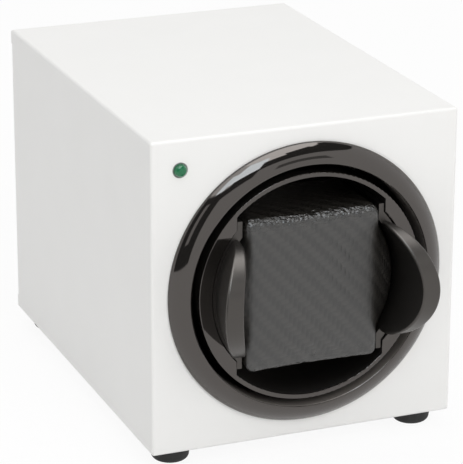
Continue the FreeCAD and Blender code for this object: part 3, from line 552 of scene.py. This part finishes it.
def addWeaveMap(piece):
    # the cloth runs over the edges: depth is added to the way across or up, by where the surface faces
    shape = piece.data
    front = min(point.co.y for point in shape.vertices)
    where = []
    for point, normal in zip(shape.vertices, shape.vertex_normals):
        n = normal.vector
        sides = abs(n.x) + abs(n.z) + 1e-6
        depth = point.co.y - front
        across = point.co.x + math.copysign(depth * abs(n.x) / sides, point.co.x)
        up = point.co.z - axisZ + math.copysign(depth * abs(n.z) / sides, point.co.z - axisZ)
        where.append((across, up))
    layer = shape.uv_layers.new(name="weave")
    for loop in shape.loops:
        layer.data[loop.index].uv = where[loop.vertex_index]


def makeCushion():
    c = cushion
    pad = joinedCopy("watch_cushion", ["cuff_cover", "cuff_foam"])
    remesh = pad.modifiers.new("remesh", "REMESH")
    remesh.mode = "VOXEL"
    remesh.voxel_size = c["voxel"] * mm
    smooth = pad.modifiers.new("rub", "SMOOTH")
    smooth.factor = c["rub"]
    smooth.iterations = c["rubs"]
    applyModifiers(pad)
    swell(pad, c)
    drawTight(pad, c)
    softenSides(pad, c)
    finer = pad.modifiers.new("finer", "SUBSURF")
    finer.levels = finer.render_levels = 1
    applyModifiers(pad)
    pad.data.shade_smooth()
    addWeaveMap(pad)
    finishPiece(pad, "cuff", "weave_leatherette", "cuff_cover", "cuff_foam")


makeCushion()
print("cushion swelled")


# Geometry trees for what repeats

def newTree(name, inputs):
    tree = bpy.data.node_groups.new(name, "GeometryNodeTree")
    for label, kind in inputs.items():
        tree.interface.new_socket(label, in_out="INPUT", socket_type="NodeSocket" + kind)
    tree.interface.new_socket("Shape", in_out="OUTPUT", socket_type="NodeSocketGeometry")
    entry = tree.nodes.new("NodeGroupInput")
    leave = tree.nodes.new("NodeGroupOutput")
    sizes = {label: Wire(tree, entry.outputs[label]) for label in inputs}

    def close(instances):
        real = instances.node("GeometryNodeRealizeInstances", None, {0: instances})
        dressed = real.node("GeometryNodeSetMaterial", None, {"Geometry": real, "Material": sizes["Finish"]})
        tree.links.new(dressed.socket, leave.inputs[0])

    return tree, sizes, close


def grow(name, tree, **values):
    piece = newObject(name, bpy.data.meshes.new(name))
    modifier = piece.modifiers.new("grow", "NODES")
    modifier.node_group = tree
    for item in tree.interface.items_tree:
        if item.in_out == "INPUT":
            modifier[item.identifier] = values[item.name]
    applyModifiers(piece)
    return piece


def makeRingTree():  # items round an axis along y, the first angle counted from straight up towards +x
    tree, size, close = newTree("ring_of_items", {
        "Item": "Object", "Count": "Int", "Radius": "Float", "First": "Float", "Step": "Float",
        "Centre": "Vector", "Finish": "Material"})
    turn = size["Count"].node("GeometryNodeInputIndex") * size["Step"] + size["First"]
    arm = {"X": turn.sine() * size["Radius"], "Z": turn.cosine() * size["Radius"]}
    offset = turn.node("ShaderNodeCombineXYZ", None, arm)
    place = turn.node("ShaderNodeVectorMath", {"operation": "ADD"}, {0: offset, 1: size["Centre"]})
    points = turn.node("GeometryNodePoints", None, {"Count": size["Count"], "Position": place})
    way = turn.node("FunctionNodeAxisAngleToRotation", None, {"Axis": (0, 1, 0), "Angle": turn})
    item = turn.node("GeometryNodeObjectInfo", None, {"Object": size["Item"]}, "Geometry")
    close(turn.node("GeometryNodeInstanceOnPoints", None, {"Points": points, "Instance": item, "Rotation": way}))
    return tree


def makeScrewTree():  # a screw at each place, its cross recess turned by chance
    tree, size, close = newTree("screw_set", {
        "Screw": "Object", "Places": "Object", "Facing": "Vector", "Finish": "Material"})
    facing = size["Facing"].node("FunctionNodeEulerToRotation", None, {0: size["Facing"]})
    chance = facing.node("FunctionNodeRandomValue", {"data_type": "FLOAT"}, {2: 0.0, 3: math.pi / 2, "Seed": 8}, 1)
    spin = chance.node("FunctionNodeAxisAngleToRotation", None, {"Axis": (0, 1, 0), "Angle": chance})
    way = facing.node("FunctionNodeRotateRotation", {"rotation_space": "LOCAL"}, {0: facing, 1: spin})
    places = way.node("GeometryNodeObjectInfo", None, {"Object": size["Places"]}, "Geometry")
    screw = way.node("GeometryNodeObjectInfo", None, {"Object": size["Screw"]}, "Geometry")
    close(way.node("GeometryNodeInstanceOnPoints", None, {"Points": places, "Instance": screw, "Rotation": way}))
    return tree


ringTree = makeRingTree()
screwTree = makeScrewTree()


def prism(name, low, high, lowY, highY):
    # closed block between two outlines of (x, z) in millimetres, the second one at the greater y
    mesh = bmesh.new()
    ends = [[mesh.verts.new((x * mm, y * mm, z * mm)) for x, z in line]
            for line, y in ((low, lowY), (high, highY))]
    for end in ends:
        mesh.faces.new(end)
    for k in range(len(low)):
        after = (k + 1) % len(low)
        mesh.faces.new((ends[0][k], ends[0][after], ends[1][after], ends[1][k]))
    bmesh.ops.recalc_face_normals(mesh, faces=mesh.faces)
    return meshObject(name, mesh)


def soften(piece, width, steps=3):
    edge = piece.modifiers.new("soften", "BEVEL")
    edge.width = width * mm
    edge.segments = steps
    edge.limit_method = "ANGLE"
    edge.angle_limit = math.radians(40)
    applyModifiers(piece)
    smoothBelow(piece.data)


def combine(piece, other, operation):
    cut = piece.modifiers.new("combine", "BOOLEAN")
    cut.operation = operation
    cut.solver = "EXACT"
    cut.object = other
    applyModifiers(piece)
    bpy.data.objects.remove(other)
    mesh = bmesh.new()
    mesh.from_mesh(piece.data)
    cleanUp(mesh, least=3e-6)
    mesh.to_mesh(piece.data)
    mesh.free()
    smoothBelow(piece.data)


def blockLine(halfX, lowZ, highZ):
    return [(-halfX, lowZ), (halfX, lowZ), (halfX, highZ), (-halfX, highZ)]


# Screws of the rear plate and the feet, pan heads with a cross recess

screws = {"head": 3.0, "height": 1.8, "rim": 1.0, "edge": 0.25, "edgeDrop": 0.3, "shank": 1.5, "taper": 1.5,
          "tip": 0.15, "segments": 40, "arm": 1.55, "blade": 0.34, "bottom": 0.62, "recess": 1.15, "above": 0.4,
          "rearLength": 14.0, "footLength": 8.0, "footSeat": 2.8}


def makeScrew(length):
    s = screws
    crown = (s["head"] ** 2 + (s["height"] - s["rim"]) ** 2) / (2 * (s["height"] - s["rim"]))
    low = math.degrees(math.acos(s["head"] / crown))
    profile = arc((0, s["height"] - crown), crown, 90, low, 8)
    profile += arc((s["head"] - s["edge"], s["rim"] - s["edgeDrop"]), s["edge"], 20, 0, 3) + [(s["head"], 0)]
    profile += [(s["shank"], 0), (s["shank"], -length + s["taper"]), (s["tip"], -length), (0, -length)]
    screw = lathe("screw", profile, (0, 0, 0), s["segments"])
    arm, blade = s["arm"], s["blade"]
    cross = [(blade, blade), (arm, blade), (arm, -blade), (blade, -blade), (blade, -arm), (-blade, -arm),
             (-blade, -blade), (-arm, -blade), (-arm, blade), (-blade, blade), (-blade, arm), (blade, arm)]
    narrow = [(x * s["bottom"], z * s["bottom"]) for x, z in cross]
    cutter = prism("cross", narrow, cross, s["height"] - s["recess"], s["height"] + s["above"])
    combine(screw, cutter, "DIFFERENCE")
    return screw


def setScrews(name, length, places, facing, node):
    screw = makeScrew(length)
    spots = bpy.data.meshes.new("spots")
    spots.from_pydata(places, [], [])
    holder = newObject("spots", spots)
    piece = grow(name, screwTree, Screw=screw, Places=holder, Facing=facing, Finish=finishes["zinc_steel"])
    bpy.data.objects.remove(screw)
    bpy.data.objects.remove(holder)
    finishPiece(piece, "case", "zinc_steel", node)


def makeScrews():
    s = screws
    low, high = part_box("rear_panel_screws")
    edge = s["head"] * mm
    rear = [(x, plateY, z) for x in (low[0] + edge, high[0] - edge) for z in (low[2] + edge, high[2] - edge)]
    setScrews("rear_plate_screws", s["rearLength"], rear, (0.0, 0.0, 0.0), "rear_panel_screws")
    under = []
    for foot in ("front_left_foot", "front_right_foot", "rear_left_foot", "rear_right_foot"):
        low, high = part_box(foot)
        under.append(((low[0] + high[0]) / 2, (low[1] + high[1]) / 2, low[2] + s["footSeat"] * mm))
    setScrews("foot_fixing_screws", s["footLength"], under, (-math.pi / 2, 0.0, 0.0), "foot_screws")


makeScrews()
print("screws set")


# Selector knobs on the rear plate, with their pointers and the marks round them

knob = {"across": 20.0, "up": 12.0, "lift": 0.6, "depth": 7.5,
        "skirtRadius": 8.72, "skirt": 2.0, "skirtRound": 0.6, "skirtSegments": 96,
        "bar": 2.5, "barTop": 2.0, "barReach": 8.3, "barDraft": 0.5, "barFrom": 0.7, "barRound": 0.6,
        "boss": 5.0, "bossRound": 0.7, "bossFrom": 0.9, "bossStep": 0.02, "bossSegments": 72,
        "ribs": 36, "ribHalf": 0.36, "ribReach": 9.0, "ribDepth": 0.5, "ribFrom": 0.15, "ribTo": 1.35,
        "ribRound": 0.2, "pointerHalf": 0.45, "pointerStart": 1.6, "pointerEnd": 7.4, "pointerSunk": 0.2,
        "pointerProud": 0.08, "pointerRound": 0.07}
marks = {"radius": 11.6, "half": 0.28, "length": 2.2, "sunk": 0.05, "lift": 0.05, "round": 0.03}


def barLine(half, reach):
    side = math.degrees(math.asin(half / reach))
    return arc((0, 0), reach, 90 - side, 90 + side, 6) + arc((0, 0), reach, 270 - side, 270 + side, 6)


def moveMesh(piece, place):
    piece.data.transform(Matrix.Translation(Vector(place)))


def makeKnob(body, across, firstMark, stepMark, markCount):
    k = knob
    centre = (across * mm, plateY + k["lift"] * mm, axisZ + k["up"] * mm)
    roundAt = (k["skirtRadius"] - k["skirtRound"], k["skirt"] - k["skirtRound"])
    profile = [(0, 0), (k["skirtRadius"], 0)] + arc(roundAt, k["skirtRound"], 0, 90, 6) + [(0, k["skirt"])]
    piece = lathe(body + "_knob", profile, (0, 0, 0), k["skirtSegments"])
    low, high = barLine(k["bar"], k["barReach"]), barLine(k["barTop"], k["barReach"] - k["barDraft"])
    bar = prism("bar", low, high, k["barFrom"], k["depth"])
    soften(bar, k["barRound"])
    combine(piece, bar, "UNION")
    roundAt = (k["boss"] - k["bossRound"], k["depth"] - k["bossRound"] - k["bossStep"])
    profile = [(0, k["bossFrom"]), (k["boss"], k["bossFrom"])]
    profile += arc(roundAt, k["bossRound"], 0, 90, 6) + [(0, k["depth"] - k["bossStep"])]
    combine(piece, lathe("boss", profile, (0, 0, 0), k["bossSegments"]), "UNION")
    moveMesh(piece, centre)
    finishPiece(piece, body, "control_black", body.replace("_control", "_knob"))

    line = blockLine(k["ribHalf"], -k["ribDepth"], 0.0)
    rib = prism("rib", line, line, k["ribFrom"], k["ribTo"])
    soften(rib, k["ribRound"])
    ribs = grow(body + "_ribs", ringTree, Item=rib, Count=k["ribs"], Radius=k["ribReach"] * mm, First=0.0,
                Step=2 * math.pi / k["ribs"], Centre=centre, Finish=finishes["control_black"])
    bpy.data.objects.remove(rib)
    finishPiece(ribs, body, "control_black")

    line = blockLine(k["pointerHalf"], k["pointerStart"], k["pointerEnd"])
    pointer = prism(body + "_pointer", line, line, k["depth"] - k["pointerSunk"], k["depth"] + k["pointerProud"])
    soften(pointer, k["pointerRound"])
    moveMesh(pointer, centre)
    finishPiece(pointer, body, "spacer_nylon")

    m = marks
    line = blockLine(m["half"], -m["length"] / 2, m["length"] / 2)
    mark = prism("mark", line, line, -m["sunk"], m["lift"])
    soften(mark, m["round"], steps=2)
    onPlate = (centre[0], plateY, centre[2])
    ring = grow(body + "_marks", ringTree, Item=mark, Count=markCount, Radius=m["radius"] * mm,
                First=math.radians(firstMark), Step=math.radians(stepMark), Centre=onPlate,
                Finish=finishes["spacer_nylon"])
    bpy.data.objects.remove(mark)
    finishPiece(ring, "case", "spacer_nylon")


makeKnob("turns_control", knob["across"], firstMark=0.0, stepMark=30.0, markCount=5)
makeKnob("direction_control", -knob["across"], firstMark=-45.0, stepMark=45.0, markCount=3)
print("knobs and marks made")


# Contact pin of the power socket

pin = {"radius": 1.06, "tip": 0.45, "length": 8.9, "end": 0.06, "drop": 14.0, "segments": 40}


def makePin():
    p = pin
    profile = [(0, -p["length"]), (p["radius"], -p["length"])]
    profile += arc((p["radius"] - p["tip"], p["end"] - p["tip"]), p["tip"], 0, 90, 6) + [(0, p["end"])]
    centre = (0, plateY, axisZ - p["drop"] * mm)
    finishPiece(lathe("socket_pin", profile, centre, p["segments"]), "case", "bright_steel")


makePin()
print("power socket pin made")


# Studio: floor, light and camera

studio = {"floorSize": 6.0, "floorShade": 0.9, "floorRoughness": 0.9, "floorGlow": 0.92, "world": 0.628,
          "glow": 1.0, "cardDistance": 1.6, "cardStep": 0.01, "cardRows": 6, "cardColumns": 24}

# What the gloss black mirrors besides white. Each card spans angles from the front towards the right and angles
# above the floor, then has a brightness and sometimes a tint. A later card stands before the ones above it.
coolLight = (0.85, 0.955, 1.03)
cards = {
    "ceiling": ((-180, 180), (60, 89), 3.7),
    "left_ceiling": ((-112, -20), (46, 72), 2.2),
    "left_softbox": ((-48, -5), (48, 71), 6.0, coolLight),
    "left_softbox_end": ((-62, -46), (45, 61), 5.6, coolLight),
    "upper_flag": ((-9, 20), (44.5, 61), 0.08),
    "upper_flag_middle": ((18, 60), (44.5, 66), 0.08),
    "upper_flag_right": ((58, 96), (44.5, 63.5), 0.08),
    "middle_flag": ((-37, -7), (34, 49), 0.08),
    "left_flag": ((-82, -36), (-2.5, 44.5), 0.08),
    "left_stand": ((-67, -57), (12, 38), 0.9),
    "front_gap": ((9, 33), (23, 32), 0.3),
}


def makeCard(name, distance, compass, height, level, tint=grey(1.0)):
    rows, columns = studio["cardRows"], studio["cardColumns"]
    mesh = bmesh.new()
    grid = []
    for row in range(rows + 1):
        lift = math.radians(height[0] + (height[1] - height[0]) * row / rows)
        line = []
        for column in range(columns + 1):
            turn = math.radians(compass[0] + (compass[1] - compass[0]) * column / columns)
            way = Vector((math.sin(turn) * math.cos(lift), -math.cos(turn) * math.cos(lift), math.sin(lift)))
            line.append(mesh.verts.new(way * distance + Vector((0, frontY, axisZ))))
        grid.append(line)
    for low, high in zip(grid, grid[1:]):
        for k in range(columns):
            mesh.faces.new((low[k], low[k + 1], high[k + 1], high[k]))
    material, tree = newMaterial(name)
    light = tree.nodes.new("ShaderNodeEmission")
    light.inputs["Color"].default_value = (*tint, 1)
    light.inputs["Strength"].default_value = level
    tree.links.new(light.outputs[0], tree.nodes["Material Output"].inputs["Surface"])
    card = meshObject(name, mesh)
    card.data.materials.append(material)
    card.visible_camera = card.visible_diffuse = card.visible_shadow = card.visible_transmission = False


def seenWhole(tree):  # one where the camera, a mirror or glass looks, nothing where light is only scattered
    rays = tree.nodes.new("ShaderNodeLightPath").outputs
    seen = Wire(tree, rays["Is Camera Ray"])
    for kind in ("Is Glossy Ray", "Is Transmission Ray"):
        seen = seen.atLeast(Wire(tree, rays[kind]))
    return seen


def makeStudio():
    s = studio
    half = s["floorSize"] / 2
    mesh = bpy.data.meshes.new("floor")
    mesh.from_pydata([(-half, -half, 0), (half, -half, 0), (half, half, 0), (-half, half, 0)], [], [(0, 1, 2, 3)])
    floor = newObject("floor", mesh)
    material, tree = newMaterial("floor_paper")
    shader = tree.nodes["Principled BSDF"]
    shader.inputs["Base Color"].default_value = (*grey(s["floorShade"]), 1)
    shader.inputs["Roughness"].default_value = s["floorRoughness"]
    shader.inputs["Specular IOR Level"].default_value = 0.0
    seen = seenWhole(tree)
    paper = Wire(tree, shader.outputs[0])
    white = seen.node("ShaderNodeEmission", None, {"Strength": s["glow"]})
    mixed = seen.node("ShaderNodeMixShader", None, {0: seen * s["floorGlow"], 1: paper, 2: white})
    tree.links.new(mixed.socket, tree.nodes["Material Output"].inputs["Surface"])
    mesh.materials.append(material)

    world = bpy.data.worlds.new("studio")
    bpy.context.scene.world = world
    world.use_nodes = True
    tree = world.node_tree
    tree.nodes.clear()
    level = seenWhole(tree).between(s["world"], s["glow"])
    sky = level.node("ShaderNodeBackground", None, {"Color": (*grey(1.0), 1), "Strength": level})
    out = tree.nodes.new("ShaderNodeOutputWorld")
    tree.links.new(sky.socket, out.inputs["Surface"])
    for order, (name, card) in enumerate(cards.items()):
        makeCard(name, s["cardDistance"] - s["cardStep"] * order, *card)


def softbox(name, place, target, width, height, power):
    lamp = bpy.data.lights.new(name, "AREA")
    lamp.shape = "RECTANGLE"
    lamp.size = width
    lamp.size_y = height
    lamp.energy = power
    holder = newObject(name, lamp)
    holder.location = place
    holder.rotation_euler = (Vector(target) - Vector(place)).to_track_quat("-Z", "Y").to_euler()
    holder.visible_glossy = False


camera = {"azimuth": -21.852, "elevation": 19.575, "roll": 0.182, "place": (-0.3721, -0.8520, 0.3506),
          "focalPixels": 2611.9, "imageHeight": 464, "sensor": 36.0, "clip": (0.05, 30)}
# place is measured from the drum's axis at the front board


def makeCamera():
    c = camera
    azimuth, elevation = math.radians(c["azimuth"]), math.radians(c["elevation"])
    back = Vector((math.sin(azimuth) * math.cos(elevation), -math.cos(azimuth) * math.cos(elevation),
                   math.sin(elevation)))
    right = Vector((math.cos(azimuth), math.sin(azimuth), 0))
    up = back.cross(right)
    turn = Matrix((right, up, back)).transposed() @ Matrix.Rotation(math.radians(c["roll"]), 3, "Z")
    data = bpy.data.cameras.new("camera")
    data.sensor_width = c["sensor"]
    data.lens = c["focalPixels"] / c["imageHeight"] * data.sensor_width
    data.clip_start, data.clip_end = c["clip"]
    holder = newObject("camera", data)
    place = Vector(c["place"]) + Vector((0, frontY, axisZ))
    holder.matrix_world = Matrix.Translation(place) @ turn.to_4x4()
    bpy.context.scene.camera = holder


makeStudio()
softbox("key", (0.1, -1.0, 0.75), target=(0, 0, 0.06), width=0.8, height=0.8, power=5.0)
softbox("top", (-0.2, 0.0, 1.15), target=(-0.2, 0.001, 0.0), width=1.3, height=1.2, power=3.9)
makeCamera()
bpy.context.scene.view_settings.view_transform = "Standard"
print("studio set")
